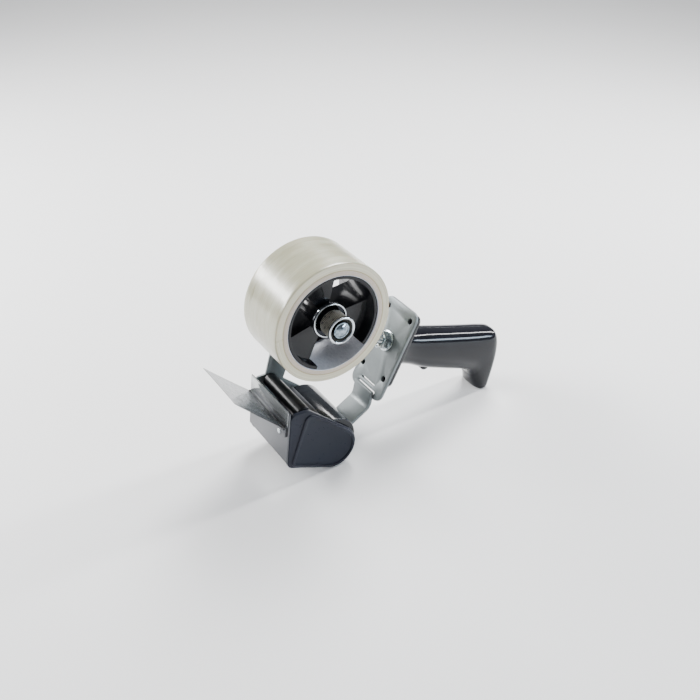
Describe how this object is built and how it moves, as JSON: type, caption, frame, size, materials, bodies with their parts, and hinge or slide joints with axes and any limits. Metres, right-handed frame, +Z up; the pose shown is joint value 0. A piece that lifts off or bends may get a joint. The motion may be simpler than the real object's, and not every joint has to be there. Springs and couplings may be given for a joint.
{
  "type": "tape dispenser",
  "caption": "Hand-held packing tape dispenser: steel frame with capped head, applicator roller, serrated blade, film flap, braked hub with tape roll, and pistol handle.",
  "frame": {"origin": "centre of the bottom of the whole object's bounding box, on the surface it stands on", "axes": "+X from the head towards the handle, +Y towards the hex head of the spindle, +Z up"},
  "size_m": [0.2591, 0.0708, 0.1755],
  "materials": {
    "plate_steel": "satin grey",
    "cap_plastic": "satin black",
    "handle_plastic": "gloss black",
    "zinc_steel": "zinc plated",
    "fibre": "fibre",
    "chrome_plate": "polished",
    "spring_wire": "bright",
    "bright_steel": "polished",
    "blade_steel": "ground",
    "hub_plastic": "gloss black",
    "bushing_brass": "turned",
    "core_board": "paper board",
    "tape_film": "layered clear tape",
    "roller_plastic": "moulded",
    "roller_rubber": "smooth",
    "guide_plastic": "moulded",
    "knob_metal": "knurled, dull nickel",
    "flap_film": "clear film"
  },
  "bodies": {
    "frame": {"hub_side_plate": "plate_steel", "inner_side_plate": "plate_steel", "side_cap": "cap_plastic", "rear_bracket": "plate_steel", "frame_arm": "plate_steel", "back_plate": "plate_steel", "handle_grip": "handle_plastic", "handle_bolt": "zinc_steel", "handle_washer": "zinc_steel", "handle_nut": "zinc_steel", "spindle": "zinc_steel", "spindle_spacer": "zinc_steel", "friction_washer": "fibre", "spring_cup": "chrome_plate", "brake_spring": "spring_wire", "cap_nut": "chrome_plate", "roller_axle": "zinc_steel", "axle_clip": "spring_wire", "guide_pin": "zinc_steel", "tape_guide": "bright_steel", "front_plate": "bright_steel", "cutter_blade": "blade_steel", "flap_clamp": "bright_steel", "clamp_screws": "zinc_steel"},
    "hub": {"hub": "hub_plastic", "hub_bushing": "bushing_brass"},
    "tape_roll": {"tape_core": "core_board", "tape_wrap": "tape_film"},
    "applicator_roller": {"roller_core": "roller_plastic", "roller_rubber": "roller_rubber"},
    "guide_roller": {"guide_roller": "guide_plastic"},
    "spring_seat": {"spring_washer": "zinc_steel"},
    "brake_knob": {"brake_knob": "knob_metal", "knob_ring": "chrome_plate"},
    "film_flap": {"film_flap": "flap_film"}
  },
  "joints": [
    {"name": "hub_spin", "type": "hinge", "parent": "frame", "child": "hub", "pos_m": [-0.04567, 0.0008, 0.1275], "axis": [0, 1, 0], "continuous": true},
    {"name": "roll_off", "type": "slide", "parent": "hub", "child": "tape_roll", "axis": [0, -1, 0], "range_m": [0, 0.065]},
    {"name": "roller_spin", "type": "hinge", "parent": "frame", "child": "applicator_roller", "pos_m": [-0.04967, 0.0008, 0.023], "axis": [0, 1, 0], "continuous": true},
    {"name": "guide_spin", "type": "hinge", "parent": "frame", "child": "guide_roller", "pos_m": [-0.07447, 0.0008, 0.0589], "axis": [0, 1, 0], "continuous": true},
    {"name": "seat_slide", "type": "slide", "parent": "frame", "child": "spring_seat", "axis": [0, 1, 0], "range_m": [-0.00125, 0.00125]},
    {"name": "knob_turn", "type": "hinge", "parent": "spring_seat", "child": "brake_knob", "pos_m": [-0.04567, 0.0008, 0.1275], "axis": [0, 1, 0], "range_deg": [-361, 361]},
    {"name": "flap_bend", "type": "hinge", "parent": "frame", "child": "film_flap", "pos_m": [-0.09194, 0.0008, 0.05392], "axis": [0, 1, 0], "range_deg": [-20, 35], "stiffness_Nm_per_rad": 0.05, "springref_deg": 0.46}
  ],
  "couplings": [
    {"joint": "knob_turn", "follows": "seat_slide", "rad_per_m": 5026.5}
  ]
}
